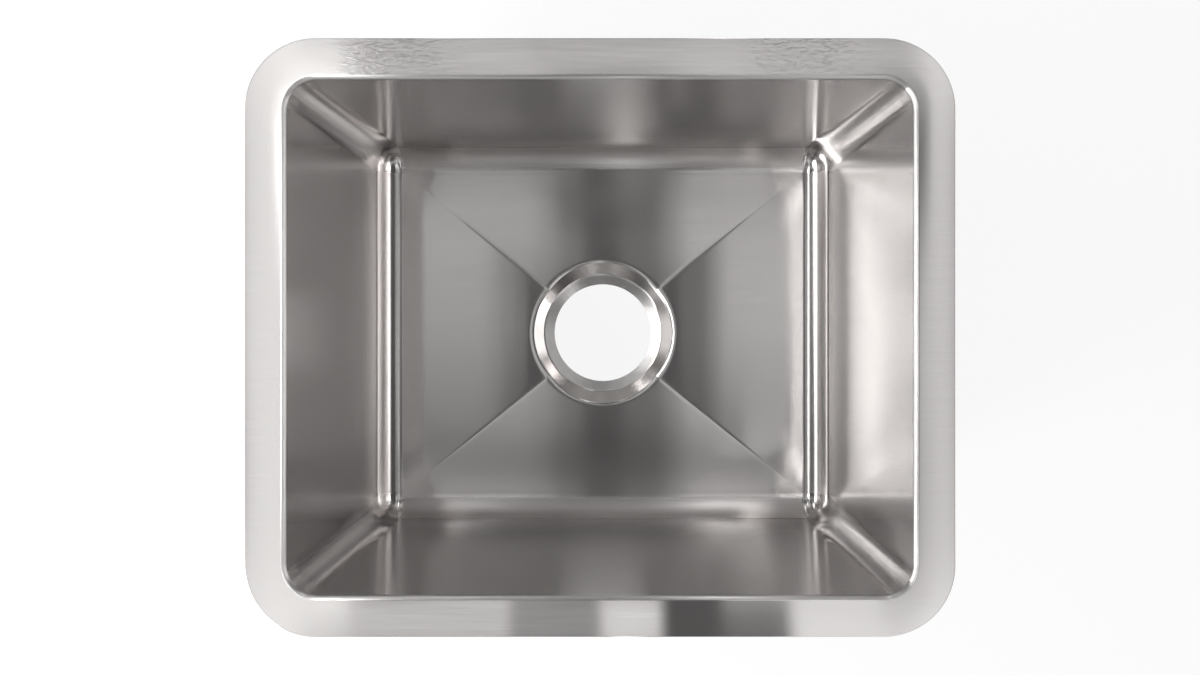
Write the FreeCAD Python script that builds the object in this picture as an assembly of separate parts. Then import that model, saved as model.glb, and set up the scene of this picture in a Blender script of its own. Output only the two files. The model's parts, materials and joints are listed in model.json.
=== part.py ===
# Undermount bar sink welded from formed stainless sheet, in millimetres.
# The origin is the middle of the rim's upper face. X runs along the longer side, Y to the back and Z up.
import FreeCAD, Part
import math
import os

# Sheet metal: the bowl is measured on its inside faces.
sheet = 1.2  # 18 gauge stainless steel
bowl_length = 404.0
bowl_width = 332.0
bowl_depth = 203.0  # rim face to the level edge of the floor
bend_radius = 20.0  # inside radius of the upright corners and of the coves round the floor

# Rim: a flat flange that bears on the underside of a worktop.
rim_width = 26.0  # inside face of the wall to the outer edge
rim_bend = 2.5  # radius of the rounded edge where the rim turns down into the bowl
rim_collar = 16.0  # rim face to the weld between the turned-down collar and the walls

# Floor: pressed so that four faces fall to the drain and meet in creases along the diagonals.
floor_fall = 6.0  # fall from the level edge to the middle, if the drain were not there
drain_hole = 90.0  # diameter of the hole for a basket strainer
drain_seat = 109.0  # diameter of the recess at the seat, for the strainer's flange
drain_depth = 12.0  # level edge of the floor to the seat
drain_slope = 52.0  # lean of the recess's wall, in degrees from upright
shoulder_radius = 5.0  # rounding where the floor turns down into the recess
foot_radius = 4.0  # rounding where the recess's wall meets the seat

# Underside: a sprayed coat on the steel and rubber pads stuck on the coat, both to deaden noise.
coat = 0.8
coat_top_gap = 24.0  # rim face to the upper edge of the coat
coat_drain_gap = 4.5  # bare steel between the rounded shoulder of the drain and the coat
pad = 3.0
pad_corner = 12.0  # radius of a pad's corners in plan
wall_pad_height = 104.0
wall_pad_inset = 34.0  # gap from a wall pad's ends to the upright corners
floor_pad_inset = 9.0  # gap from a floor pad to the coves and to the bare ring round the drain

# Places worked out from the sizes above.
floor_level = -bowl_depth
seat_level = floor_level - drain_depth
floor_half_length = bowl_length / 2 - bend_radius
floor_half_width = bowl_width / 2 - bend_radius
coat_skin = sheet + coat
pad_skin = coat_skin + pad
cove_top = floor_level + bend_radius

# The sides, each a quarter turn about Z after the one before, starting at +X.
# Each has its name, the distance to its inside face and its straight length.
sides = [
    ("right", bowl_length / 2, 2 * floor_half_width),
    ("back", bowl_width / 2, 2 * floor_half_length),
    ("left", bowl_length / 2, 2 * floor_half_width),
    ("front", bowl_width / 2, 2 * floor_half_length),
]

# The upright corners, each a quarter turn about Z after the one before, with the place of its bend's axis.
corners = [
    ("back_right", floor_half_length, floor_half_width),
    ("back_left", -floor_half_length, floor_half_width),
    ("front_left", -floor_half_length, -floor_half_width),
    ("front_right", floor_half_length, -floor_half_width),
]

origin = FreeCAD.Vector(0, 0, 0)
upright = FreeCAD.Vector(0, 0, 1)


def section_point(out, height):
    """A point of a cross-section that is drawn in the XZ plane."""
    return FreeCAD.Vector(out, 0, height)


def quarter_bend(centre_out, centre_height, radius, first_angle, last_angle):
    """An arc of a cross-section, between two angles in degrees from the outward direction."""
    on_arc = []
    for angle in (first_angle, (first_angle + last_angle) / 2, last_angle):
        turn = math.radians(angle)
        out = centre_out + radius * math.cos(turn)
        on_arc.append(section_point(out, centre_height + radius * math.sin(turn)))
    return Part.Arc(*on_arc).toShape()


def closed_section(edges):
    """A face from edges in order, with straight edges across the gaps between them."""
    outline = []
    for edge, following in zip(edges, edges[1:] + edges[:1]):
        outline.append(edge)
        end = edge.lastVertex(True).Point
        start = following.firstVertex(True).Point
        if end.distanceToPoint(start) > 1e-6:
            outline.append(Part.makeLine(end, start))
    return Part.Face(Part.Wire(outline))


def wall_section(reach, inner_skin, outer_skin, top):
    """A wall and the cove at its foot, between two depths below the bowl's inside face.
    reach is the distance to the wall's inside face."""
    axis_out = reach - bend_radius
    inner_radius = bend_radius + inner_skin
    outer_radius = bend_radius + outer_skin
    inner_top = section_point(axis_out + inner_radius, top)
    outer_top = section_point(axis_out + outer_radius, top)
    return closed_section(
        [
            quarter_bend(axis_out, cove_top, inner_radius, 0, -90),
            quarter_bend(axis_out, cove_top, outer_radius, -90, 0),
            Part.makeLine(outer_top, inner_top),
        ]
    )


def rim_section(reach):
    """The flat rim, its rounded inner edge and the collar below, at a distance to the wall's inside face."""
    collar_foot_in = section_point(reach, -rim_collar)
    collar_foot_out = section_point(reach + sheet, -rim_collar)
    edge_low = section_point(reach + rim_width, -sheet)
    edge_high = section_point(reach + rim_width, 0)
    bend_out = reach + rim_bend
    return closed_section(
        [
            quarter_bend(bend_out, -rim_bend, rim_bend, 90, 180),
            Part.makeLine(collar_foot_in, collar_foot_out),
            quarter_bend(bend_out, -rim_bend, rim_bend - sheet, 180, 90),
            Part.makeLine(edge_low, edge_high),
        ]
    )


def turned(shape, quarters):
    """A shape turned about Z by a number of quarter turns."""
    shape.rotate(origin, upright, 90 * quarters)
    return shape


def straight_run(section, length, quarters):
    """A section drawn out along one straight side of the bowl."""
    run = section.extrude(FreeCAD.Vector(0, length, 0))
    run.translate(FreeCAD.Vector(0, -length / 2, 0))
    return turned(run, quarters)


def corner_run(section, axis_x, axis_y, quarters):
    """A section swung a quarter turn round one upright corner of the bowl."""
    run = turned(section.revolve(origin, upright, 90), quarters)
    run.translate(FreeCAD.Vector(axis_x, axis_y, 0))
    return run


def joined(shapes):
    """Shapes that meet face to face, as one solid with no edges left across flat and round faces."""
    return shapes[0].fuse(shapes[1:]).removeSplitter().Solids[0]


def all_round(section_at):
    """One ring round the bowl. section_at gives the section for a distance to the wall's inside face."""
    runs = []
    for quarters, (name, reach, length) in enumerate(sides):
        runs.append(straight_run(section_at(reach), length, quarters))
    for quarters, (name, axis_x, axis_y) in enumerate(corners):
        runs.append(corner_run(section_at(bend_radius), axis_x, axis_y, quarters))
    return joined(runs)


def falling_trough(half_span, length, skin):
    """The room above a floor that falls from both long edges to the middle, level at the edges.
    A parabola gives the fall, so the creases fade out towards the corners of the floor."""
    edge_height = floor_level - skin
    middle = section_point(0, edge_height - floor_fall)
    slopes = []
    for side in (-1, 1):
        edge = section_point(side * half_span, edge_height)
        level_tangent = section_point(side * half_span / 2, edge_height)
        slope = Part.BezierCurve()
        slope.setPoles([edge, level_tangent, middle] if side < 0 else [middle, level_tangent, edge])
        slopes.append(slope.toShape())
    lid = Part.makeLine(section_point(half_span, cove_top), section_point(-half_span, cove_top))
    return straight_run(closed_section(slopes + [lid]), length, 0)


def floor_room(skin):
    """The room above the pressed floor, without the drain, at a depth below the floor's upper face."""
    across_length = falling_trough(floor_half_length, 2 * floor_half_width, skin)
    across_width = falling_trough(floor_half_width, 2 * floor_half_length, skin)
    return across_length.common(turned(across_width, 1)).Solids[0]


def recess_radius(height, skin):
    """Radius of the drain recess's leaning wall at a height, at a depth below its upper face."""
    lean = math.radians(drain_slope)
    return drain_seat / 2 + (height - seat_level) * math.tan(lean) + skin / math.cos(lean)


def bare_radius():
    """Radius of the ring round the drain that is masked from the coat."""
    return recess_radius(floor_level, 0) + shoulder_radius + coat_drain_gap


def edges_round_recess(solid, skin, lowest, highest):
    """The edges of a solid that run round the drain recess's wall between two heights."""
    found = []
    for edge in solid.Edges:
        span = edge.LastParameter - edge.FirstParameter
        samples = [edge.valueAt(edge.FirstParameter + span * share) for share in (0, 0.3, 0.6, 1)]
        on_wall = all(abs(math.hypot(p.x, p.y) - recess_radius(p.z, skin)) < 1e-3 for p in samples)
        if on_wall and all(lowest < p.z < highest for p in samples):
            found.append(edge)
    return found


def floor_room_with_drain(skin):
    """The room above the floor and in the drain recess, with the recess's edges rounded."""
    seat = seat_level - skin
    recess = Part.makeCone(
        recess_radius(seat, skin),
        recess_radius(cove_top, skin),
        cove_top - seat,
        FreeCAD.Vector(0, 0, seat),
    )
    room = joined([floor_room(skin), recess])
    mid_wall = (seat_level + floor_level - floor_fall) / 2
    room = room.makeFillet(shoulder_radius - skin, edges_round_recess(room, skin, mid_wall, floor_level))
    return room.makeFillet(foot_radius + skin, edges_round_recess(room, skin, seat - sheet, mid_wall))


def floor_pan():
    """The pressed floor with its creases, drain recess, seat and hole."""
    hole = Part.makeCylinder(drain_hole / 2, drain_depth, FreeCAD.Vector(0, 0, seat_level - drain_depth / 2))
    return floor_room_with_drain(sheet).cut(floor_room_with_drain(0)).cut(hole).Solids[0]


def undercoat():
    """The sprayed coat over the outside of the walls, corners and floor, bare round the drain."""
    walls = all_round(lambda reach: wall_section(reach, sheet, coat_skin, -coat_top_gap))
    under_floor = floor_room(coat_skin).cut(floor_room(sheet))
    bare = Part.makeCylinder(bare_radius(), bowl_depth, FreeCAD.Vector(0, 0, seat_level - drain_depth))
    return joined([walls, under_floor.cut(bare)])


def rounded_block(length, width, height, centre):
    """An upright block with rounded corners in plan, on the point in the middle of its foot."""
    foot = centre - FreeCAD.Vector(length / 2, width / 2, 0)
    block = Part.makeBox(length, width, height, foot)
    posts = [edge for edge in block.Edges if abs(edge.tangentAt(edge.FirstParameter).z) > 0.5]
    return block.makeFillet(pad_corner, posts).Solids[0]


def wall_pad(reach, length, quarters):
    """A rubber pad on the outside of a wall, midway between the coat's edge and the cove."""
    middle = (cove_top - coat_top_gap) / 2
    slab = rounded_block(wall_pad_height, length - 2 * wall_pad_inset, pad, origin)
    slab.rotate(origin, FreeCAD.Vector(0, 1, 0), 90)
    slab.translate(FreeCAD.Vector(reach + coat_skin, 0, middle))
    return turned(slab, quarters)


def floor_pad(side):
    """A rubber pad under the floor, between the bare ring round the drain and the cove on one side."""
    first = bare_radius() + floor_pad_inset
    last = floor_half_length - floor_pad_inset
    foot = FreeCAD.Vector(side * (first + last) / 2, 0, seat_level - drain_depth)
    outline = rounded_block(last - first, 2 * (floor_half_width - floor_pad_inset), bowl_depth, foot)
    return floor_room(pad_skin).cut(floor_room(coat_skin)).common(outline).Solids[0]


def main():
    pieces = {
        "rim_flange": all_round(rim_section),
        "floor_pan": floor_pan(),
        "undercoat": undercoat(),
        "left_floor_pad": floor_pad(-1),
        "right_floor_pad": floor_pad(1),
    }
    for quarters, (name, reach, length) in enumerate(sides):
        section = wall_section(reach, 0, sheet, -rim_collar)
        pieces[name + "_wall"] = straight_run(section, length, quarters)
        pieces[name + "_wall_pad"] = wall_pad(reach, length, quarters)
    for quarters, (name, axis_x, axis_y) in enumerate(corners):
        section = wall_section(bend_radius, 0, sheet, -rim_collar)
        pieces[name + "_corner"] = corner_run(section, axis_x, axis_y, quarters)
    os.makedirs("parts", exist_ok=True)
    for name, shape in pieces.items():
        shape.exportStep(os.path.join("parts", name + ".step"))
        print(name, shape.ShapeType, "valid" if shape.isValid() else "not valid", round(shape.Volume, 1))


main()
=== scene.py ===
"""Dresses a brushed steel undermount bar sink: formed sheet, undercoat, rubber pads and a soft studio.

Every length is in metres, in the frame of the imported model: X along the bowl, Y to its back, Z up."""
import json
import math

import bmesh
import bpy
import numpy as np
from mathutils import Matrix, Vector


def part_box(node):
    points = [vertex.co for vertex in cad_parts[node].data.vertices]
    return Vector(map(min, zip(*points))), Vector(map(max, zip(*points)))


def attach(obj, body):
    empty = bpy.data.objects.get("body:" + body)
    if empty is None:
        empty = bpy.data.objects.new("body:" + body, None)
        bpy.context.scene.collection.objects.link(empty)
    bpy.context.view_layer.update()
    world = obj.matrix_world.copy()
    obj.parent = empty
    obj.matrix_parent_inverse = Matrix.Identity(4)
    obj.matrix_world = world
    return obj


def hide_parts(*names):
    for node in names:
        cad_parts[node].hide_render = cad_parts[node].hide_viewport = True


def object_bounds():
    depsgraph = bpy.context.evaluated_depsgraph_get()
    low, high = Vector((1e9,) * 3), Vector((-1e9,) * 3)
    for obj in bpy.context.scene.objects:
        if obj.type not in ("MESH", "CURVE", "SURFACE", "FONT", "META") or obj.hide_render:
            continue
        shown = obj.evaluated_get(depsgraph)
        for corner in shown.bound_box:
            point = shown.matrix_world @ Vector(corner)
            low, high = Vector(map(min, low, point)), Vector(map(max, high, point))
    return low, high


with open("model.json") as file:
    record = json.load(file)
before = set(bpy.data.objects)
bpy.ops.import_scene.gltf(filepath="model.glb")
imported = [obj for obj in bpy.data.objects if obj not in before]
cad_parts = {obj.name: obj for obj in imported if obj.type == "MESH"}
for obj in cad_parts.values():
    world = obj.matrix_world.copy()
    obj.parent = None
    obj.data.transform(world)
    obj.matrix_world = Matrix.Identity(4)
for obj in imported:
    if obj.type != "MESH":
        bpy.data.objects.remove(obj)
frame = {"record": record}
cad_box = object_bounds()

bl_info = {
    "name": "Bar Sink",
    "version": (1, 0, 0),
    "blender": (4, 5, 0),
    "location": "View3D > Sidebar > Bar Sink",
    "description": "Builds a brushed steel bar sink and the studio that it is shown in",
    "category": "Object",
}

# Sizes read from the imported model.
rim_low, rim_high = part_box("rim_flange")
floor_low, floor_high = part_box("floor_pan")
wall_low, wall_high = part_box("right_wall")
coat_low, coat_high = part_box("undercoat")
pad_low, pad_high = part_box("right_wall_pad")
mounts = {mount["name"]: mount for mount in frame["record"]["mounts"]}

FLOOR_LEVEL = floor_high.z
SHEET = FLOOR_LEVEL - wall_low.z
SEAT_LEVEL = floor_low.z + SHEET
HALF_LENGTH = floor_high.x
HALF_WIDTH = floor_high.y
BEND = wall_high.x - SHEET - HALF_LENGTH
COVE_TOP = FLOOR_LEVEL + BEND
RIM_WIDTH = rim_high.x - HALF_LENGTH - BEND
COLLAR_FOOT = rim_low.z
COAT = coat_high.x - wall_high.x
COAT_TOP = coat_high.z
PAD = pad_high.x - coat_high.x
HOLE_RADIUS = mounts["drain_hole"]["dims"]["r_mm"] / 1000

# The sides, and the corners after them, in order round the bowl from +X towards +Y.
SIDES = ("right", "back", "left", "front")
CORNERS = ("back_right", "back_left", "front_left", "front_right")

# The labels of the bowl's pieces: the sides, then the corners, then the floor.
FIRST_CORNER = len(SIDES)
FLOOR_PIECE = FIRST_CORNER + len(CORNERS)

BRUSHING = "brushing"  # the UV map: U across the brush lines, V along them
QUARTER = np.linspace(0, math.pi / 2, 17)  # the angles of a quarter turn round a corner or a cove


class SinkShape(bpy.types.PropertyGroup):
    """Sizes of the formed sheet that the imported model's boxes don't give."""

    rim_bend: bpy.props.FloatProperty(
        name="Rim bend", description="Radius where the rim turns down", default=0.0025, unit="LENGTH")
    floor_fall: bpy.props.FloatProperty(
        name="Floor fall", description="Fall of the floor to its middle", default=0.006, unit="LENGTH")
    edge_roll: bpy.props.FloatProperty(
        name="Edge roll", description="Drop of the floor just inside its coves", default=0.001, unit="LENGTH")
    seat_radius: bpy.props.FloatProperty(
        name="Seat radius", description="Radius of the drain recess at its seat",
        default=0.0545, unit="LENGTH")
    seat_fall: bpy.props.FloatProperty(
        name="Seat fall", description="Fall of the seat from the recess's wall to the hole",
        default=0.0017, unit="LENGTH")
    recess_lean: bpy.props.FloatProperty(
        name="Recess lean", description="Lean of the recess's wall from upright",
        default=math.radians(56), subtype="ANGLE")
    foot_radius: bpy.props.FloatProperty(
        name="Foot radius", description="Rounding between the recess's wall and its seat",
        default=0.004, unit="LENGTH")
    roll_radius: bpy.props.FloatProperty(
        name="Roll radius", description="Where the floor starts to roll down into the recess",
        default=0.0688, unit="LENGTH")
    crease_depth: bpy.props.FloatProperty(
        name="Crease depth", description="Depth of the pressed lines on the floor's diagonals",
        default=0.0001, unit="LENGTH")
    crease_width: bpy.props.FloatProperty(
        name="Crease width", description="Half width of the pressed lines", default=0.0009, unit="LENGTH")
    waviness: bpy.props.FloatProperty(
        name="Waviness", description="How far the thin sheet strays from flat",
        default=0.00012, unit="LENGTH")


class SinkFinish(bpy.types.PropertyGroup):
    """Colours and roughness of the sink's materials."""

    steel_colour: bpy.props.FloatVectorProperty(
        name="Steel", description="Colour of the stainless sheet",
        default=(0.626, 0.607, 0.598), subtype="COLOR")
    rim_roughness: bpy.props.FloatProperty(
        name="Rim roughness", description="Roughness of the rim's finish", default=0.1, subtype="FACTOR")
    bend_roughness: bpy.props.FloatProperty(
        name="Bend roughness", description="Roughness where the rim turns down",
        default=0.3, subtype="FACTOR")
    floor_roughness: bpy.props.FloatProperty(
        name="Floor roughness", description="Roughness of the floor", default=0.13, subtype="FACTOR")
    cove_roughness: bpy.props.FloatProperty(
        name="Cove roughness", description="Roughness of the coves round the floor",
        default=0.3, subtype="FACTOR")
    wall_roughness: bpy.props.FloatProperty(
        name="Wall roughness", description="Roughness of the upright walls", default=0.22, subtype="FACTOR")
    corner_roughness: bpy.props.FloatProperty(
        name="Corner roughness", description="Roughness of the formed corners",
        default=0.14, subtype="FACTOR")
    drain_roughness: bpy.props.FloatProperty(
        name="Drain roughness", description="Roughness of the pressed drain recess",
        default=0.17, subtype="FACTOR")
    coat_colour: bpy.props.FloatVectorProperty(
        name="Undercoat", description="Colour of the sprayed coat",
        default=(0.24, 0.24, 0.236), subtype="COLOR")
    pad_colour: bpy.props.FloatVectorProperty(
        name="Pads", description="Colour of the rubber pads",
        default=(0.028, 0.028, 0.03), subtype="COLOR")


class SinkStudio(bpy.types.PropertyGroup):
    """The stage and its light."""

    camera_height: bpy.props.FloatProperty(
        name="Camera height", description="Camera above the rim", default=0.474, unit="LENGTH")
    camera_offset: bpy.props.FloatVectorProperty(
        name="Camera offset", description="Camera from the middle of the rim, along X and Y",
        default=(0.006, 0.010), size=2, unit="LENGTH")
    focal_pixels: bpy.props.FloatProperty(
        name="Focal length", description="Focal length in pixels of a picture 1200 wide", default=739.0)
    floor_colour: bpy.props.FloatVectorProperty(
        name="Floor", description="Colour of the studio floor",
        default=(0.86, 0.86, 0.86), subtype="COLOR")


def side_directions(side):
    """The outward direction of a side, and the direction along it, towards the next corner."""
    turn = math.radians(90 * side)
    outward = np.array([math.cos(turn), math.sin(turn), 0.0])
    along = np.array([-math.sin(turn), math.cos(turn), 0.0])
    return outward, along


def side_reach(side):
    """The distance from the drain's axis to a side's floor edge, and half the length of that edge."""
    return (HALF_LENGTH, HALF_WIDTH) if side % 2 == 0 else (HALF_WIDTH, HALF_LENGTH)


def side_stations(half):
    """Places along a side's floor edge: even steps, and close ones at the ends, where the creases start."""
    end_gaps = np.array([0.0, 0.0006, 0.0014, 0.0026, 0.0045, 0.0075])
    even_step = 0.006
    inner = half - end_gaps[-1]
    steps = int(2 * inner / even_step)
    ends = half - end_gaps[:-1]
    return np.concatenate([-ends, np.linspace(-inner, inner, steps), ends[::-1]])


def arc_length(value, half):
    """Length along a floor and up its cove, for a distance from the middle."""
    past = np.clip((np.abs(value) - half) / BEND, 0, 1)
    return np.sign(value) * (np.minimum(np.abs(value), half) + BEND * np.arcsin(past))


def sheet_wave(first, second):
    """A slow, uneven wave between about -1 and 1, for the waviness of thin sheet."""
    return (
        0.5 * np.sin(27.0 * first + 0.6 + 1.1 * np.sin(13.0 * second))
        + 0.35 * np.sin(19.0 * second - 1.3 + 0.8 * np.sin(17.0 * first))
        + 0.15 * np.sin(43.0 * first + 31.0 * second + 0.4)
    )


class SheetFace:
    """One face of formed sheet as a welded mesh, in labelled pieces, with brushing coordinates."""

    def __init__(self):
        self.mesh = bmesh.new()
        self.label = self.mesh.faces.layers.int.new("piece")
        self.brushing = self.mesh.loops.layers.uv.new(BRUSHING)

    def add_grid(self, grid, around, piece):
        """Adds quads between points grid[row][column]. around[column] is the length along the wall."""
        rows, columns, _ = grid.shape
        verts = [[self.mesh.verts.new(point) for point in line] for line in grid]
        for row in range(rows - 1):
            for column in range(columns - 1):
                places = ((row, column), (row, column + 1), (row + 1, column + 1), (row + 1, column))
                face = self.mesh.faces.new([verts[r][c] for r, c in places])
                face[self.label] = piece
                face.normal_update()
                upright = abs(face.normal.z) < 0.05
                for loop, (r, c) in zip(face.loops, places):
                    x, y, z = grid[r, c]
                    if upright:
                        loop[self.brushing].uv = (z, around[c])
                    else:
                        loop[self.brushing].uv = (arc_length(y, HALF_WIDTH), arc_length(x, HALF_LENGTH))

    def weld(self):
        """Joins the grids where their edges meet."""
        bmesh.ops.remove_doubles(self.mesh, verts=self.mesh.verts, dist=1e-6)
        self.mesh.normal_update()
        self.mesh.verts.index_update()

    def solid_piece(self, piece, name, near, far):
        """One labelled piece as a closed solid, from a depth near to a depth far below the face.
        near and far give a depth for a vertex. Normals are those of the whole face, so seams don't show."""
        faces = [face for face in self.mesh.faces if face[self.label] == piece]
        numbers = {}
        for face in faces:
            for vert in face.verts:
                numbers.setdefault(vert, len(numbers))
        count = len(numbers)
        points = [vert.co - vert.normal * near(vert) for vert in numbers]
        points += [vert.co - vert.normal * far(vert) for vert in numbers]
        polygons, coordinates, normals = [], [], []
        for face in faces:
            ring = [numbers[vert] for vert in face.verts]
            flat = [tuple(loop[self.brushing].uv) for loop in face.loops]
            shade = [vert.normal.copy() for vert in face.verts]
            polygons.append(ring)
            coordinates.extend(flat)
            normals.extend(shade)
            polygons.append([number + count for number in reversed(ring)])
            coordinates.extend(reversed(flat))
            normals.extend(-normal for normal in reversed(shade))
        inside = set(faces)
        for face in faces:
            for loop in face.loops:
                if any(other in inside for other in loop.edge.link_faces if other is not face):
                    continue
                start, end = numbers[loop.vert], numbers[loop.link_loop_next.vert]
                strip = [end, start, start + count, end + count]
                a, b, c = (Vector(points[number]) for number in strip[:3])
                flat = (b - a).cross(c - b).normalized()
                u, v = loop[self.brushing].uv
                next_u, next_v = loop.link_loop_next[self.brushing].uv
                polygons.append(strip)
                coordinates.extend([(next_u, next_v), (u, v)])
                coordinates.extend([(u + SHEET, v + SHEET), (next_u + SHEET, next_v + SHEET)])
                normals.extend([flat] * 4)
        mesh = smooth_mesh(name, points, polygons, coordinates)
        mesh.normals_split_custom_set(normals)
        return place(name, mesh)


def smooth_mesh(name, points, polygons, coordinates=None):
    """A mesh with smooth shading, and with brushing coordinates where they are given."""
    mesh = bpy.data.meshes.new(name)
    mesh.from_pydata(points, [], polygons)
    if coordinates:
        layer = mesh.uv_layers.new(name=BRUSHING)
        layer.data.foreach_set("uv", np.array(coordinates).ravel())
    mesh.polygons.foreach_set("use_smooth", [True] * len(polygons))
    return mesh


def place(name, mesh):
    """An object for a mesh, in the scene and riding on the sink."""
    piece = bpy.data.objects.new(name, mesh)
    bpy.context.scene.collection.objects.link(piece)
    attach(piece, "root")
    return piece


def floor_height(x, y, shape):
    """Height of the pressed floor: four faces that fall to the middle, with pressed lines between them."""
    toward_x = 1 - np.abs(x) / HALF_LENGTH
    toward_y = 1 - np.abs(y) / HALF_WIDTH
    share = np.minimum(toward_x, toward_y)
    off_diagonal = (toward_x - toward_y) * HALF_LENGTH * HALF_WIDTH / math.hypot(HALF_LENGTH, HALF_WIDTH)
    crease = shape.crease_depth * np.exp(-((off_diagonal / shape.crease_width) ** 2))
    # The lines fade out near the floor's edge. The waves fade out there and near the drain.
    crease = crease * np.clip((share - 0.1) / 0.25, 0, 1)
    wave = shape.waviness * sheet_wave(x, y)
    wave = wave * np.clip(share / 0.15, 0, 1) * np.clip((0.62 - share) / 0.1, 0, 1)
    roll_share = 0.1
    roll = shape.edge_roll * np.tanh(toward_x / roll_share) * np.tanh(toward_y / roll_share)
    return FLOOR_LEVEL - shape.floor_fall * share**2 - roll - crease + wave


def drain_profile(direction, shape):
    """Points from the floor down into the drain recess and across its seat, in one upright plane."""
    cos, sin = direction[0], direction[1]

    def on_floor(radius):
        return floor_height(radius * cos, radius * sin, shape)

    start = np.array([shape.roll_radius, on_floor(shape.roll_radius)])
    step = 0.001
    slope = (on_floor(start[0] + step) - start[1]) / step
    corner = np.array([shape.seat_radius, SEAT_LEVEL + shape.seat_fall])
    up_wall = np.array([math.sin(shape.recess_lean), math.cos(shape.recess_lean)])
    along_seat = np.array([HOLE_RADIUS, SEAT_LEVEL]) - corner
    along_seat = along_seat / np.linalg.norm(along_seat)
    half_angle = math.acos(np.dot(up_wall, along_seat)) / 2
    tangent = shape.foot_radius / math.tan(half_angle)
    wall_length = (start[1] - corner[1]) / up_wall[1]
    roll_reach, wall_reach = 0.0022, 0.0016
    wall_top = corner + (wall_length - roll_reach) * up_wall
    roll_pole = start - roll_reach * np.array([1.0, slope])
    poles = [start, roll_pole, wall_top + wall_reach * up_wall, wall_top]
    profile = []
    for t in np.linspace(0, 1, 20)[1:]:
        weights = ((1 - t) ** 3, 3 * t * (1 - t) ** 2, 3 * t * t * (1 - t), t**3)
        profile.append(sum(weight * pole for weight, pole in zip(weights, poles)))
    wall_foot = corner + tangent * up_wall
    for share in (0.1, 0.5, 0.9):
        profile.append(wall_top + share * (wall_foot - wall_top))
    middle = (up_wall + along_seat) / np.linalg.norm(up_wall + along_seat)
    centre = corner + middle * shape.foot_radius / math.sin(half_angle)
    first = corner + tangent * up_wall - centre
    last = corner + tangent * along_seat - centre
    sweep = math.pi - 2 * half_angle
    for share in np.linspace(0, 1, 8):
        mix = math.sin((1 - share) * sweep) * first + math.sin(share * sweep) * last
        profile.append(centre + mix / math.sin(sweep))
    seat_start = profile[-1]
    for share in np.linspace(0, 1, 6)[1:]:
        profile.append(seat_start + share * (np.array([HOLE_RADIUS, SEAT_LEVEL]) - seat_start))
    return [(radius * cos, radius * sin, height) for radius, height in profile]


def wall_profile(top):
    """Distance out from the floor's edge and height, for points down a wall and round its cove."""
    profile = [(BEND, height) for height in np.linspace(top, COVE_TOP + 0.001, 18)]
    profile.append((BEND, COVE_TOP))
    for angle in QUARTER[1:]:
        profile.append((BEND * math.cos(angle), COVE_TOP - BEND * math.sin(angle)))
    return profile


def bowl_face(top, inner_radius, shape):
    """The inside face of the bowl from a height on the walls down to a radius round the drain.
    An inner radius of none takes the face on into the drain recess, as far as the hole."""
    face = SheetFace()
    profile = wall_profile(top)
    settle = 0.03  # the walls' waves die out over this length at every edge
    around = 0.0
    for side in range(4):
        outward, along = side_directions(side)
        reach, half = side_reach(side)
        stations = side_stations(half)
        edge = [outward * reach + along * station for station in stations]
        grid = np.zeros((len(profile), len(stations), 3))
        for row, (out, height) in enumerate(profile):
            for column, foot in enumerate(edge):
                on_wall = min(1.0, (top - height) / settle, max(0.0, (height - COVE_TOP) / settle))
                sag = shape.waviness * sheet_wave(stations[column] + side, height) * on_wall
                sag *= min(1.0, (half - abs(stations[column])) / settle)
                grid[row, column] = foot + outward * (out + sag)
                grid[row, column, 2] = height
        face.add_grid(grid, around + half + stations, side)
        around += 2 * half
        centre = outward * reach + along * half
        grid = np.zeros((len(profile), len(QUARTER), 3))
        for row, (out, height) in enumerate(profile):
            for column, turn in enumerate(QUARTER):
                grid[row, column] = centre + out * (outward * math.cos(turn) + along * math.sin(turn))
                grid[row, column, 2] = height
        face.add_grid(grid, around + BEND * QUARTER, FIRST_CORNER + side)
        around += BEND * math.pi / 2
        columns = []
        for foot in edge:
            distance = np.linalg.norm(foot)
            direction = foot / distance
            stop = inner_radius or shape.roll_radius
            radii = stop + (distance - stop) * np.linspace(1, 0, 30)
            spots = [direction * radius for radius in radii]
            column = [(x, y, floor_height(x, y, shape)) for x, y, _ in spots]
            if not inner_radius:
                column += drain_profile(direction, shape)
            columns.append(column)
        face.add_grid(np.array(columns).swapaxes(0, 1), stations, FLOOR_PIECE)
    face.weld()
    return face


def rim_section(shape):
    """The rim's closed cross-section: distance out from the wall's inside face, and height."""
    edge = 0.00012  # the cut edge is broken by this much
    bend = shape.rim_bend
    section = [(RIM_WIDTH, -SHEET + edge), (RIM_WIDTH, -edge), (RIM_WIDTH - 0.3 * edge, -0.3 * edge)]
    section.append((RIM_WIDTH - edge, 0.0))
    section += [(out, 0.0) for out in np.linspace(RIM_WIDTH - 3 * edge, bend + 0.0004, 9)]
    section.append((bend, 0.0))
    for angle in np.linspace(math.pi / 2, math.pi, 11)[1:]:
        section.append((bend + bend * math.cos(angle), -bend + bend * math.sin(angle)))
    section += [(0.0, height) for height in np.linspace(-bend, COLLAR_FOOT, 5)[1:]]
    section += [(SHEET, height) for height in np.linspace(COLLAR_FOOT, -bend, 5)]
    for angle in np.linspace(math.pi, math.pi / 2, 11)[1:]:
        radius = bend - SHEET
        section.append((bend + radius * math.cos(angle), -bend + radius * math.sin(angle)))
    section += [(out, -SHEET) for out in np.linspace(bend, RIM_WIDTH - edge, 8)[1:]]
    return section


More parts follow.
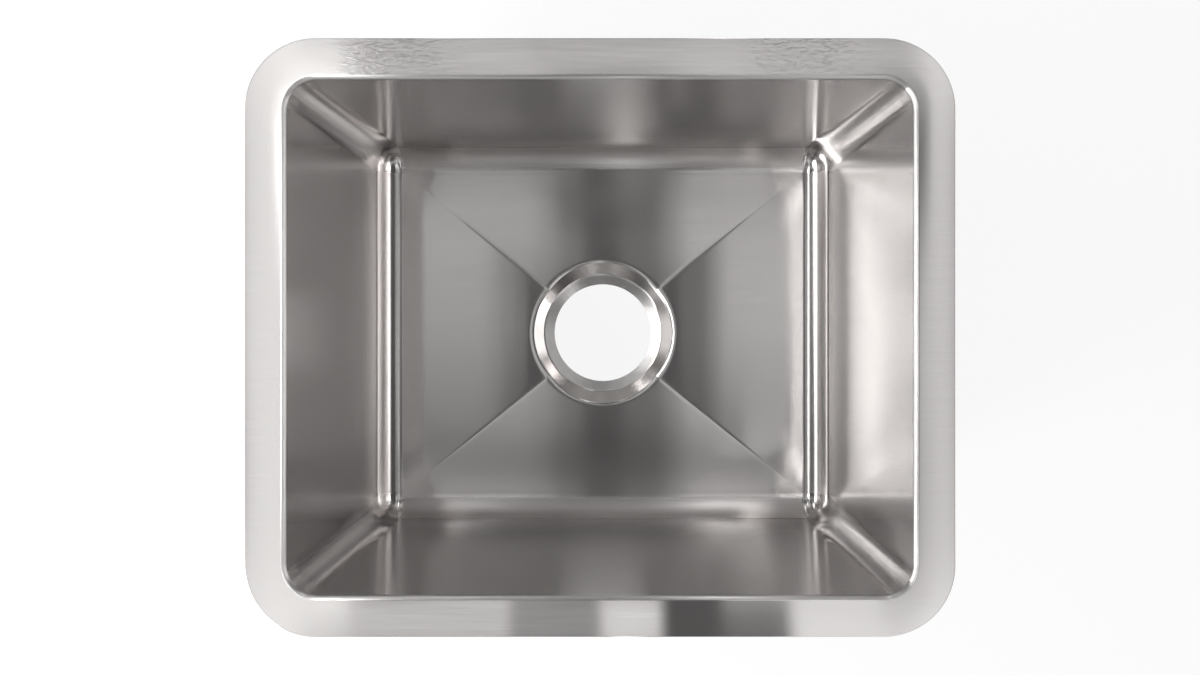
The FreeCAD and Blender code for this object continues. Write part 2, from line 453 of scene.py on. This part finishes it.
def rim_mesh(name, shape):
    """The rim: its cross-section taken once round the bowl.
    Its second material is for the part that is turned down."""
    section = rim_section(shape)
    rim_waviness = 0.6 * shape.waviness
    settle = 0.01  # the waves grow over this length from the inner edge
    rings = []
    around = 0.0
    for side in range(4):
        outward, along = side_directions(side)
        reach, half = side_reach(side)
        for station in side_stations(half):
            rings.append((outward * reach + along * station, outward, around + half + station))
        around += 2 * half
        centre = outward * reach + along * half
        for turn in QUARTER[1:-1]:
            facing = outward * math.cos(turn) + along * math.sin(turn)
            rings.append((centre, facing, around + BEND * turn))
        around += BEND * math.pi / 2
    points = []
    for foot, facing, _ in rings:
        for out, height in section:
            point = foot + facing * (BEND + out)
            lift = rim_waviness * sheet_wave(point[0], point[1]) * min(1.0, max(0.0, out / settle))
            points.append((point[0], point[1], height + lift))
    size = len(section)
    down = [height - 1.5 * min(out, shape.rim_bend) for out, height in section]
    polygons, coordinates, turned = [], [], []
    for ring in range(len(rings)):
        following = (ring + 1) % len(rings)
        lengths = (rings[ring][2], rings[following][2] if following else around)
        for spot in range(size):
            beyond = (spot + 1) % size
            corners = [(ring, spot, 0), (ring, beyond, 0), (following, beyond, 1), (following, spot, 1)]
            polygons.append([r * size + s for r, s, _ in corners])
            turned_down = max(section[spot][0], section[beyond][0]) < shape.rim_bend + 0.0001
            turned.append(1 if turned_down else 0)
            for r, s, end in corners:
                x, y, z = points[r * size + s]
                coordinates.append((down[s], lengths[end]) if turned_down else (y, x))
    mesh = smooth_mesh(name, points, polygons, coordinates)
    mesh.polygons.foreach_set("material_index", turned)
    mesh.set_sharp_from_angle(angle=math.radians(40))
    return mesh


def rounded_outline(half_length, half_width, corner, inset):
    """Points round a rectangle with rounded corners, moved in by an inset."""
    radius = corner - inset
    arcs = []
    for quarter, (sign_x, sign_y) in enumerate(((1, 1), (-1, 1), (-1, -1), (1, -1))):
        centre = np.array([sign_x * (half_length - corner), sign_y * (half_width - corner)])
        angles = np.linspace(0, math.pi / 2, 9) + quarter * math.pi / 2
        arcs.append([centre + radius * np.array([math.cos(angle), math.sin(angle)]) for angle in angles])
    outline = []
    for arc, following in zip(arcs, arcs[1:] + arcs[:1]):
        straight = following[0] - arc[-1]
        outline += arc + [arc[-1] + straight * share for share in np.linspace(0, 1, 13)[1:-1]]
    return outline


def pad_mesh(name, half_length, half_width, corner, to_place):
    """A rubber pad with soft edges. to_place turns length, width and height on the coat into a point."""
    # Each level's inset from the outline, and its share of the pad's thickness.
    levels = [(0.0, 0.0), (0.0, 0.6), (0.0003, 0.85), (0.001, 1.0), (0.004, 1.0), (0.0085, 0.98)]
    points, polygons = [], []
    size = 0
    for inset, share in levels:
        outline = rounded_outline(half_length, half_width, corner, inset)
        size = len(outline)
        points += [to_place(x, y, share * PAD) for x, y in outline]
    for level in range(len(levels) - 1):
        for spot in range(size):
            beyond = (spot + 1) % size
            low, high = level * size, (level + 1) * size
            polygons.append([low + spot, low + beyond, high + beyond, high + spot])
    polygons.append(list(reversed(range(size))))
    polygons.append([(len(levels) - 1) * size + spot for spot in range(size)])
    mesh = smooth_mesh(name, points, polygons)
    mesh.set_sharp_from_angle(angle=math.radians(50))
    return mesh


class Nodes:
    """Short calls for placing and linking shader nodes in one tree."""

    def __init__(self, tree):
        self.tree = tree

    def add(self, kind, settings=None, **inputs):
        """A node with its settings, and with each named input linked to a socket or set to a value."""
        node = self.tree.nodes.new(kind)
        for name, value in (settings or {}).items():
            setattr(node, name, value)
        for name, value in inputs.items():
            key = int(name[1:]) if name[0] == "i" and name[1:].isdigit() else name.replace("_", " ")
            self.feed(node.inputs[key], value)
        return node

    def feed(self, socket, value):
        """Links a socket to another, or sets its value."""
        if isinstance(value, bpy.types.NodeSocket):
            self.tree.links.new(value, socket)
        else:
            socket.default_value = value

    def math(self, operation, first, second=0.0):
        """The result of a math node."""
        return self.add("ShaderNodeMath", {"operation": operation}, i0=first, i1=second).outputs[0]

    def ramp(self, value, low, high, start=0.0, end=1.0):
        """A value carried from one range to another, with soft ends."""
        node = self.add(
            "ShaderNodeMapRange", {"interpolation_type": "SMOOTHSTEP"},
            Value=value, From_Min=low, From_Max=high, To_Min=start, To_Max=end)
        return node.outputs["Result"]

    def window(self, value, low, high, soft):
        """1 between low and high, and 0 outside, over a soft edge."""
        rise = self.ramp(value, low - soft, low + soft)
        drop = self.ramp(value, high - soft, high + soft, 1.0, 0.0)
        return self.math("MULTIPLY", rise, drop)


def new_group(name, inputs, outputs):
    """An empty shader node group with named sockets. Returns its nodes, its inputs and its output node."""
    tree = bpy.data.node_groups.new(name, "ShaderNodeTree")
    for label, kind, value in inputs:
        socket = tree.interface.new_socket(name=label, in_out="INPUT", socket_type=kind)
        if value is not None:
            socket.default_value = value
    for label, kind in outputs:
        tree.interface.new_socket(name=label, in_out="OUTPUT", socket_type=kind)
    nodes = Nodes(tree)
    return nodes, nodes.add("NodeGroupInput").outputs, nodes.add("NodeGroupOutput").inputs


def brushed_lines_group():
    """Fine lines left by a brushing belt, broken along their length, in two widths."""
    nodes, given, result = new_group(
        "Brushed lines",
        [("Coordinates", "NodeSocketVector", None), ("Lines per metre", "NodeSocketFloat", 900.0),
         ("Breaks per metre", "NodeSocketFloat", 18.0)],
        [("Lines", "NodeSocketFloat"), ("Height", "NodeSocketFloat")])
    layers = []
    for share in (1.0, 0.23):
        across = nodes.math("MULTIPLY", given["Lines per metre"], share)
        scale = nodes.add("ShaderNodeCombineXYZ", X=across, Y=given["Breaks per metre"], Z=1.0)
        stretched = nodes.add(
            "ShaderNodeVectorMath", {"operation": "MULTIPLY"}, i0=given["Coordinates"], i1=scale.outputs[0])
        noise = nodes.add(
            "ShaderNodeTexNoise", {"noise_dimensions": "2D"},
            Vector=stretched.outputs[0], Scale=1.0, Detail=3.0, Roughness=0.65)
        layers.append(noise.outputs["Fac"])
    coarse = nodes.math("MULTIPLY", layers[1], 0.45)
    both = nodes.math("ADD", coarse, nodes.math("MULTIPLY", layers[0], 0.55))
    nodes.feed(result["Lines"], both)
    nodes.feed(result["Height"], both)
    return nodes.tree


def polishing_group():
    """Short dabs left by a hand polisher round two places, one on each side of the middle of V."""
    nodes, given, result = new_group(
        "Polishing dabs",
        [("Coordinates", "NodeSocketVector", None), ("U", "NodeSocketFloat", 0.0),
         ("V", "NodeSocketFloat", 0.0), ("Reach", "NodeSocketFloat", 0.06)],
        [("Height", "NodeSocketFloat")])
    stretched = nodes.add(
        "ShaderNodeVectorMath", {"operation": "MULTIPLY"}, i0=given["Coordinates"], i1=(420.0, 170.0, 1.0))
    dabs = nodes.add(
        "ShaderNodeTexNoise", {"noise_dimensions": "2D"},
        Vector=stretched.outputs[0], Scale=1.0, Detail=2.0, Roughness=0.5, Distortion=0.8)
    parts = nodes.add("ShaderNodeSeparateXYZ", Vector=given["Coordinates"]).outputs
    off_u = nodes.math("SUBTRACT", parts["X"], given["U"])
    off_v = nodes.math("SUBTRACT", nodes.math("ABSOLUTE", parts["Y"]), given["V"])
    squares = nodes.math("ADD", nodes.math("MULTIPLY", off_u, off_u), nodes.math("MULTIPLY", off_v, off_v))
    away = nodes.math("DIVIDE", nodes.math("SQRT", squares), given["Reach"])
    strength = nodes.ramp(away, 0.2, 1.0, 1.0, 0.0)
    nodes.feed(result["Height"], nodes.math("MULTIPLY", dabs.outputs["Fac"], strength))
    return nodes.tree


def handling_group():
    """Soft clouds where hands, cloths and spray have touched a surface, from 0 to 1."""
    nodes, given, result = new_group(
        "Handling marks",
        [("Size", "NodeSocketFloat", 12.0), ("Cover", "NodeSocketFloat", 0.5)],
        [("Mask", "NodeSocketFloat")])
    spot = nodes.add("ShaderNodeTexCoord").outputs["Object"]
    clouds = nodes.add(
        "ShaderNodeTexNoise", Vector=spot, Scale=given["Size"], Detail=5.0, Roughness=0.55, Distortion=0.6)
    low = nodes.math("SUBTRACT", 0.75, nodes.math("MULTIPLY", given["Cover"], 0.5))
    high = nodes.math("ADD", low, 0.25)
    nodes.feed(result["Mask"], nodes.ramp(clouds.outputs["Fac"], low, high))
    return nodes.tree


def grit_group():
    """Fine grain of a sprayed or moulded rubbery surface: a height and its low places."""
    nodes, given, result = new_group(
        "Rubbery grit",
        [("Grains per metre", "NodeSocketFloat", 600.0)],
        [("Height", "NodeSocketFloat"), ("Pits", "NodeSocketFloat")])
    spot = nodes.add("ShaderNodeTexCoord").outputs["Object"]
    grains = given["Grains per metre"]
    cells = nodes.add(
        "ShaderNodeTexVoronoi", {"feature": "SMOOTH_F1"}, Vector=spot, Scale=grains, Smoothness=0.6)
    clouds = nodes.add(
        "ShaderNodeTexNoise", Vector=spot, Scale=nodes.math("MULTIPLY", grains, 0.35), Detail=4.0)
    distance = cells.outputs["Distance"]
    height = nodes.math("SUBTRACT", clouds.outputs["Fac"], nodes.math("MULTIPLY", distance, 0.5))
    nodes.feed(result["Height"], height)
    nodes.feed(result["Pits"], nodes.ramp(distance, 0.25, 0.7))
    return nodes.tree


def shared_group(build):
    """A node group that is built once and then reused."""
    name = build.__name__
    for tree in bpy.data.node_groups:
        if tree.get("built_by") == name:
            return tree
    tree = build()
    tree["built_by"] = name
    return tree


def new_material(name):
    """A material with only its shader and output. Returns it, its nodes and its shader."""
    material = bpy.data.materials.new(name)
    material.use_nodes = True
    nodes = Nodes(material.node_tree)
    shader = next(node for node in nodes.tree.nodes if node.type == "BSDF_PRINCIPLED")
    return material, nodes, shader


def use_group(nodes, build, **inputs):
    """A shared node group placed in a material, with its own values."""
    return nodes.add("ShaderNodeGroup", {"node_tree": shared_group(build)}, **inputs).outputs


def varied(nodes, colour, share, mask):
    """A colour that a mask takes towards a darker or paler share of itself."""
    other = tuple(channel * share for channel in colour[:3]) + (1.0,)
    mix = nodes.add("ShaderNodeMix", {"data_type": "RGBA"})
    nodes.feed(mix.inputs["Factor"], mask)
    nodes.feed(mix.inputs[6], tuple(colour[:3]) + (1.0,))
    nodes.feed(mix.inputs[7], other)
    return mix.outputs[2]


def bump_surface(nodes, shader, height, scale):
    """Bumps a shader's surface by a height times a scale, in metres."""
    bump = nodes.add("ShaderNodeBump", Strength=1.0, Distance=scale, Height=height)
    nodes.feed(shader.inputs["Normal"], bump.outputs["Normal"])


def pressed_steel(name, colour, roughness):
    """Stainless sheet as a press tool leaves it: even and finely pitted."""
    material, nodes, shader = new_material(name)
    grit = use_group(nodes, grit_group, Grains_per_metre=1800.0)
    marks = use_group(nodes, handling_group, Size=60.0, Cover=0.5)
    nodes.feed(shader.inputs["Base Color"], varied(nodes, colour, 0.85, grit["Pits"]))
    rough = nodes.math("ADD", roughness, nodes.math("MULTIPLY", marks["Mask"], 0.06))
    nodes.feed(shader.inputs["Roughness"], rough)
    shader.inputs["Metallic"].default_value = 1.0
    bump_surface(nodes, shader, grit["Height"], 0.00001)
    return material


def brushed_steel(name, colour, level, between, upright, line_height, dab_height=0.0):
    """Stainless sheet brushed along its length: long thin reflections across the brush lines.
    level, between and upright are the roughness of its level faces, its bends and its upright faces.
    dab_height is the height of polishing dabs near the ends of the back rim."""
    material, nodes, shader = new_material(name)
    brushing = nodes.add("ShaderNodeUVMap", {"uv_map": BRUSHING}).outputs["UV"]
    lines = use_group(nodes, brushed_lines_group, Coordinates=brushing)
    marks = use_group(nodes, handling_group, Size=9.0, Cover=0.5)
    tangent = nodes.add("ShaderNodeTangent", {"direction_type": "UV_MAP", "uv_map": BRUSHING})
    nodes.feed(shader.inputs["Base Color"], varied(nodes, colour, 0.92, lines["Lines"]))
    facing = nodes.add("ShaderNodeNewGeometry").outputs["Normal"]
    steep = nodes.math("ABSOLUTE", nodes.add("ShaderNodeSeparateXYZ", Vector=facing).outputs["Z"])
    rough = nodes.ramp(steep, 0.02, 0.35, upright, between)
    rough = nodes.math("ADD", rough, nodes.ramp(steep, 0.95, 0.998, 0.0, level - between))
    uneven = nodes.math("MULTIPLY", nodes.math("SUBTRACT", lines["Lines"], 0.5), 0.03)
    rough = nodes.math("ADD", rough, uneven)
    rough = nodes.math("ADD", rough, nodes.math("MULTIPLY", marks["Mask"], 0.02))
    nodes.feed(shader.inputs["Roughness"], rough)
    shader.inputs["Metallic"].default_value = 1.0
    shader.inputs["Anisotropic"].default_value = 1.0
    nodes.feed(shader.inputs["Tangent"], tangent.outputs["Tangent"])
    height = nodes.math("MULTIPLY", lines["Height"], line_height)
    if dab_height:
        rim_middle = HALF_WIDTH + BEND + RIM_WIDTH / 2
        from_middle = 0.13  # along the back rim
        dabs = use_group(nodes, polishing_group, Coordinates=brushing, U=rim_middle, V=from_middle)
        height = nodes.math("ADD", height, nodes.math("MULTIPLY", dabs["Height"], dab_height))
    bump_surface(nodes, shader, height, 1.0)
    return material


def rubbery(name, colour, roughness, grains, depth, dust):
    """A matte rubbery surface with grit. dust is how much paler or darker it is where it was touched."""
    material, nodes, shader = new_material(name)
    grit = use_group(nodes, grit_group, Grains_per_metre=grains)
    marks = use_group(nodes, handling_group, Size=14.0, Cover=0.6)
    nodes.feed(shader.inputs["Base Color"], varied(nodes, colour, dust, marks["Mask"]))
    rough = nodes.math("ADD", roughness, nodes.math("MULTIPLY", grit["Pits"], 0.15))
    nodes.feed(shader.inputs["Roughness"], rough)
    shader.inputs["Specular IOR Level"].default_value = 0.35
    bump_surface(nodes, shader, grit["Height"], depth)
    return material


class SINK_OT_rim(bpy.types.Operator):
    """Make the flat rim with its rounded inner edge and collar"""

    bl_idname = "sink.rim"
    bl_label = "Rim"

    def execute(self, context):
        finish = context.scene.sink_finish
        rim = place("steel_rim_flange", rim_mesh("steel_rim_flange", context.scene.sink_shape))
        rim.data.materials.append(brushed_steel(
            "rim steel", finish.steel_colour, level=finish.rim_roughness, between=finish.rim_roughness,
            upright=finish.rim_roughness, line_height=0.000002, dab_height=0.00006))
        rim.data.materials.append(brushed_steel(
            "collar steel", finish.steel_colour, level=finish.bend_roughness, between=finish.bend_roughness,
            upright=finish.wall_roughness, line_height=0.000001))
        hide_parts("rim_flange")
        return {"FINISHED"}


class SINK_OT_bowl(bpy.types.Operator):
    """Make the four walls, the four corners and the pressed floor of the bowl"""

    bl_idname = "sink.bowl"
    bl_label = "Bowl panels"

    def execute(self, context):
        finish = context.scene.sink_finish
        steel = brushed_steel(
            "bowl steel", finish.steel_colour, level=finish.floor_roughness, between=finish.cove_roughness,
            upright=finish.wall_roughness, line_height=0.000002)
        corner_steel = brushed_steel(
            "corner steel", finish.steel_colour, level=finish.corner_roughness,
            between=finish.corner_roughness, upright=finish.corner_roughness, line_height=0.000001)
        face = bowl_face(COLLAR_FOOT, None, context.scene.sink_shape)
        walls = [side + "_wall" for side in SIDES]
        corners = [corner + "_corner" for corner in CORNERS]
        for number, node in enumerate(walls + corners + ["floor_pan"]):
            piece = face.solid_piece(number, "steel_" + node, lambda vert: 0.0, lambda vert: SHEET)
            piece.data.materials.append(corner_steel if "corner" in node else steel)
            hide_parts(node)
        face.mesh.free()
        pan = bpy.data.objects["steel_floor_pan"].data
        pan.materials.append(pressed_steel("drain steel", finish.steel_colour, finish.drain_roughness))
        pressed_radius = 0.066  # the brushing stops here, on the roll into the recess
        for polygon in pan.polygons:
            if polygon.center.xy.length < pressed_radius:
                polygon.material_index = 1
        return {"FINISHED"}


class SINK_OT_undercoat(bpy.types.Operator):
    """Make the sprayed coat on the outside of the bowl"""

    bl_idname = "sink.undercoat"
    bl_label = "Undercoat"

    def execute(self, context):
        finish = context.scene.sink_finish
        shape = context.scene.sink_shape
        bare_radius = 0.0794  # the coat stops here, round the drain
        taper = 0.008  # the coat thins towards its edges over this length
        edge_share = 0.3  # of its thickness, at the edges
        face = bowl_face(COAT_TOP, bare_radius, shape)
        for polygon in face.mesh.faces:
            polygon[face.label] = 0

        def thickness(vert):
            from_top = COAT_TOP - vert.co.z
            from_drain = math.hypot(vert.co.x, vert.co.y) - bare_radius
            from_edge = max(0.0, min(from_top, from_drain) / taper)
            return SHEET + COAT * min(1.0, edge_share + (1 - edge_share) * from_edge)

        coat = face.solid_piece(0, "sprayed_undercoat", lambda vert: SHEET, thickness)
        face.mesh.free()
        coat.data.materials.append(rubbery(
            "undercoat", finish.coat_colour, roughness=0.62, grains=420.0, depth=0.0005, dust=0.86))
        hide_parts("undercoat")
        return {"FINISHED"}


class SINK_OT_pads(bpy.types.Operator):
    """Make the rubber sound pads on the walls and under the floor"""

    bl_idname = "sink.pads"
    bl_label = "Sound pads"

    def execute(self, context):
        finish = context.scene.sink_finish
        shape = context.scene.sink_shape
        rubber = rubbery(
            "pad rubber", finish.pad_colour, roughness=0.55, grains=1500.0, depth=0.00012, dust=1.35)
        corner = 0.012  # radius of a pad's corners
        for side, name in enumerate(SIDES):
            node = name + "_wall_pad"
            low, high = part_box(node)
            outward, along = side_directions(side)
            middle = np.array((low + high) / 2)
            foot = middle - outward * PAD / 2
            half_along = abs(np.dot(np.array(high - low), along)) / 2

            def on_wall(x, y, height, foot=foot, along=along, outward=outward):
                return foot + along * x + np.array([0.0, 0.0, y]) + outward * height

            mesh = pad_mesh("rubber_" + node, half_along, (high.z - low.z) / 2, corner, on_wall)
            self.finish_pad(mesh, node, rubber)
        for name in ("left", "right"):
            node = name + "_floor_pad"
            low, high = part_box(node)
            middle = (low + high) / 2

            def under_floor(x, y, height, middle=middle):
                foot = floor_height(middle.x + x, middle.y - y, shape) - SHEET - COAT
                return np.array([middle.x + x, middle.y - y, foot - height])

            mesh = pad_mesh(
                "rubber_" + node, (high.x - low.x) / 2, (high.y - low.y) / 2, corner, under_floor)
            self.finish_pad(mesh, node, rubber)
        return {"FINISHED"}

    def finish_pad(self, mesh, node, rubber):
        """Places one pad, gives it the rubber and hides the part that it stands for."""
        pad = place(mesh.name, mesh)
        pad.data.materials.append(rubber)
        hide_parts(node)


def studio_floor(colour):
    """A plain pale floor that keeps a soft shadow, and that the camera and metal see as white."""
    mesh = bpy.data.meshes.new("studio_floor")
    half, level = 6.0, cad_box[0][2]
    signs = ((-1, -1), (1, -1), (1, 1), (-1, 1))
    mesh.from_pydata([(half * x, half * y, level) for x, y in signs], [], [(0, 1, 2, 3)])
    floor = bpy.data.objects.new("studio_floor", mesh)
    bpy.context.scene.collection.objects.link(floor)
    material, nodes, shader = new_material("studio floor")
    shader.inputs["Base Color"].default_value = tuple(colour) + (1.0,)
    shader.inputs["Roughness"].default_value = 0.9
    shader.inputs["Specular IOR Level"].default_value = 0.0
    path = nodes.add("ShaderNodeLightPath").outputs
    seen = nodes.math("MAXIMUM", path["Is Camera Ray"], path["Is Glossy Ray"])
    seen = nodes.math("MAXIMUM", seen, path["Is Transmission Ray"])
    white = nodes.add("ShaderNodeEmission", Color=(1.0, 1.0, 1.0, 1.0), Strength=1.0)
    white_share = 0.86  # the rest takes the shadow
    mix = nodes.add("ShaderNodeMixShader", i0=nodes.math("MULTIPLY", seen, white_share))
    nodes.feed(mix.inputs[1], shader.outputs["BSDF"])
    nodes.feed(mix.inputs[2], white.outputs["Emission"])
    output = next(node for node in nodes.tree.nodes if node.type == "OUTPUT_MATERIAL")
    nodes.feed(output.inputs["Surface"], mix.outputs["Shader"])
    floor.data.materials.append(material)


# The lights of the studio's dome. A place on it is given by its slopes: how far it lies towards +X and
# towards +Y for each metre of height. A level surface turns the camera's ray upwards and keeps its slopes.

# Long lights from front to back: slopes towards +X from and to, soft edge and brightness.
SIDE_STRIPS = (
    (-0.505, -0.437, 0.02, 1.1),  # in the left rim
    (0.422, 0.475, 0.02, 0.85),  # in the right rim
)
FLOOR_STRIPS = (
    (-0.437, -0.286, 0.02, 0.5),  # in the right wall, by way of the floor
    (-0.286, -0.0855, 0.03, 0.54),  # in the floor, left of the drain
    (0.0855, 0.33, 0.03, 0.53),  # in the floor, right of the drain
)
# What stands in place of these over the back and over the front.
BACK_STRIPS = (
    (-1.2, -0.43, 0.03, 1.5),
    (-0.43, -0.29, 0.03, 1.6),
    (-0.29, 0.55, 0.03, 1.52),
)
FRONT_STRIPS = (
    (-1.2, -0.135, 0.012, 1.42),
    (-0.135, -0.0135, 0.012, 0.72),
    (-0.0135, 0.071, 0.012, 1.8),
    (0.071, 0.245, 0.012, 0.12),
    (0.245, 0.60, 0.012, 1.2),
)
# Panels: slopes towards +X from and to, slopes towards +Y from and to, and brightness.
PANELS = (
    (-0.422, -0.333, -0.22, 0.215, 11.8),  # left, the main light
    (0.15, 0.36, -0.315, -0.24, 2.2),  # front right
    (-0.09, 0.09, 0.10, 0.26, 0.09),  # overhead, towards the back
    (0.10, 0.33, -0.08, 0.07, 0.2),  # overhead, towards the right
    (-0.09, -0.035, -0.08, 0.08, 0.25),  # overhead, just left of the middle
    (0.015, 0.09, -0.08, 0.08, 0.15),  # overhead, just right of the middle
    (-2.5, 2.5, -6.0, -1.1, 0.6),  # front, low and wide
    (0.17, 0.26, 0.8, 1.6, 4.5),  # back, right of the middle
    (-0.30, -0.262, 0.8, 1.6, 4.0),  # back, left of the middle
    (-0.8, 0.8, 1.2, 3.0, 0.8),  # back, low and wide
    (1.4, 4.0, -1.2, 1.2, 0.8),  # right, low and wide
    (1.4, 2.6, -0.6, 0.6, 3.6),  # right, low
    (-4.0, -1.4, -1.2, 1.2, 0.8),  # left, low and wide
    (0.007, 0.047, -1.3, -0.65, 3.5),  # front, near the middle
    (0.26, 0.60, -0.75, -0.45, 1.2),  # front right, lower
)


def studio_world():
    """A dim dome with long soft lights and panels, which the camera sees as a white backdrop."""
    world = bpy.data.worlds.new("studio")
    world.use_nodes = True
    bpy.context.scene.world = world
    nodes = Nodes(world.node_tree)
    background = next(node for node in world.node_tree.nodes if node.type == "BACKGROUND")
    towards = nodes.add("ShaderNodeTexCoord").outputs["Generated"]
    axes = nodes.add("ShaderNodeSeparateXYZ", Vector=towards).outputs
    height = nodes.math("MAXIMUM", axes["Z"], 0.05)
    slope_x = nodes.math("DIVIDE", axes["X"], height)
    slope_y = nodes.math("DIVIDE", axes["Y"], height)

    def strips(bands):
        """The sum of long lights."""
        total = 0.0
        for low, high, soft, brightness in bands:
            band = nodes.math("MULTIPLY", nodes.window(slope_x, low, high, soft), brightness)
            total = nodes.math("ADD", total, band)
        return total

    def mixed(factor, first, second):
        """A value taken from a first one to a second one by a factor."""
        mix = nodes.add("ShaderNodeMix", {"data_type": "FLOAT"})
        nodes.feed(mix.inputs["Factor"], factor)
        nodes.feed(mix.inputs["A"], first)
        nodes.feed(mix.inputs["B"], second)
        return mix.outputs["Result"]

    soft_x, soft_y = 0.012, 0.02
    upward = nodes.math("MAXIMUM", axes["Z"], 0.0)
    glow = nodes.math("POWER", nodes.math("SUBTRACT", 1.0, upward), 3.0)
    light = nodes.math("ADD", 0.098, nodes.math("MULTIPLY", glow, 0.3))
    light = nodes.math("ADD", light, strips(SIDE_STRIPS))
    front_fade = nodes.ramp(slope_y, -0.24, 0.06, 0.08, 1.0)
    back_fade = nodes.ramp(slope_y, 0.24, 0.32, 1.0, 0.0)
    over_floor = nodes.math("MULTIPLY", strips(FLOOR_STRIPS), nodes.math("MULTIPLY", front_fade, back_fade))
    light = nodes.math("ADD", light, over_floor)
    light = mixed(nodes.window(slope_y, 0.325, 0.395, soft_y), light, strips(BACK_STRIPS))
    light = mixed(nodes.window(slope_y, -0.45, -0.355, soft_y), light, strips(FRONT_STRIPS))
    for low_x, high_x, low_y, high_y, brightness in PANELS:
        along_x = nodes.window(slope_x, low_x, high_x, soft_x)
        along_y = nodes.window(slope_y, low_y, high_y, soft_y)
        panel = nodes.math("MULTIPLY", nodes.math("MULTIPLY", along_x, along_y), brightness)
        light = nodes.math("ADD", light, panel)

    # The camera sees white everywhere. Metal keeps the lights, and sees white near the horizon.
    path = nodes.add("ShaderNodeLightPath").outputs
    mirrored = nodes.math("MAXIMUM", path["Is Glossy Ray"], path["Is Transmission Ray"])
    horizon = nodes.math("MULTIPLY", mirrored, nodes.ramp(axes["Z"], 0.06, 0.14, 1.0, 0.0))
    white = nodes.math("MAXIMUM", path["Is Camera Ray"], horizon)
    nodes.feed(background.inputs["Color"], mixed(white, light, 1.0))
    background.inputs["Strength"].default_value = 1.0


def soft_lamp(name, place_at, aim, width, height, power):
    """A rectangular soft lamp that faces a point."""
    lamp = bpy.data.lights.new(name, "AREA")
    lamp.shape = "RECTANGLE"
    lamp.size = width
    lamp.size_y = height
    lamp.energy = power
    holder = bpy.data.objects.new(name, lamp)
    holder.location = place_at
    holder.rotation_euler = (Vector(aim) - Vector(place_at)).to_track_quat("-Z", "Y").to_euler()
    bpy.context.scene.collection.objects.link(holder)


def studio_camera(studio):
    """The camera: it looks straight down from beside the rim's middle, and its shift centres the rim."""
    picture_width = 1200
    camera = bpy.data.cameras.new("camera")
    camera.sensor_width = 36.0
    camera.lens = studio.focal_pixels / picture_width * camera.sensor_width
    offset_x, offset_y = studio.camera_offset
    frame_share = studio.focal_pixels / studio.camera_height / picture_width
    camera.shift_x = -offset_x * frame_share
    camera.shift_y = -offset_y * frame_share
    camera.clip_start = 0.01
    holder = bpy.data.objects.new("camera", camera)
    holder.location = (offset_x, offset_y, studio.camera_height)
    bpy.context.scene.collection.objects.link(holder)
    bpy.context.scene.camera = holder


class SINK_OT_stage(bpy.types.Operator):
    """Make the studio floor, its soft light and the camera"""

    bl_idname = "sink.stage"
    bl_label = "Studio"

    def execute(self, context):
        studio = context.scene.sink_studio
        studio_floor(studio.floor_colour)
        studio_world()
        soft_lamp(
            "left_lamp", place_at=(-1.3, 0.0, 0.56), aim=(0.2, 0.0, -0.1), width=1.2, height=0.58, power=13.0)
        soft_lamp(
            "front_lamp", place_at=(-0.96, -0.7, 0.5), aim=(0.19, 0.15, -0.1), width=0.4, height=0.5,
            power=13.0)
        studio_camera(studio)
        context.scene.view_settings.view_transform = "Standard"
        return {"FINISHED"}


class SINK_PT_panel(bpy.types.Panel):
    """Lists the sink's settings and the steps that build it"""

    bl_idname = "SINK_PT_panel"
    bl_label = "Bar Sink"
    bl_space_type = "VIEW_3D"
    bl_region_type = "UI"
    bl_category = "Bar Sink"

    def draw(self, context):
        for settings in (context.scene.sink_shape, context.scene.sink_finish, context.scene.sink_studio):
            box = self.layout.box()
            for name in settings.__annotations__:
                box.prop(settings, name)
        for step in STEPS:
            self.layout.operator(step.bl_idname)


SETTINGS = {"sink_shape": SinkShape, "sink_finish": SinkFinish, "sink_studio": SinkStudio}
STEPS = (SINK_OT_rim, SINK_OT_bowl, SINK_OT_undercoat, SINK_OT_pads, SINK_OT_stage)


def register():
    for name, group in SETTINGS.items():
        bpy.utils.register_class(group)
        setattr(bpy.types.Scene, name, bpy.props.PointerProperty(type=group))
    for step in STEPS:
        bpy.utils.register_class(step)
    bpy.utils.register_class(SINK_PT_panel)


def unregister():
    bpy.utils.unregister_class(SINK_PT_panel)
    for step in reversed(STEPS):
        bpy.utils.unregister_class(step)
    for name, group in SETTINGS.items():
        delattr(bpy.types.Scene, name)
        bpy.utils.unregister_class(group)


def main():
    """Registers the add-on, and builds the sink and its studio."""
    register()
    bpy.ops.sink.rim()
    bpy.ops.sink.bowl()
    bpy.ops.sink.undercoat()
    bpy.ops.sink.pads()
    bpy.ops.sink.stage()


if __name__ == "__main__":
    main()
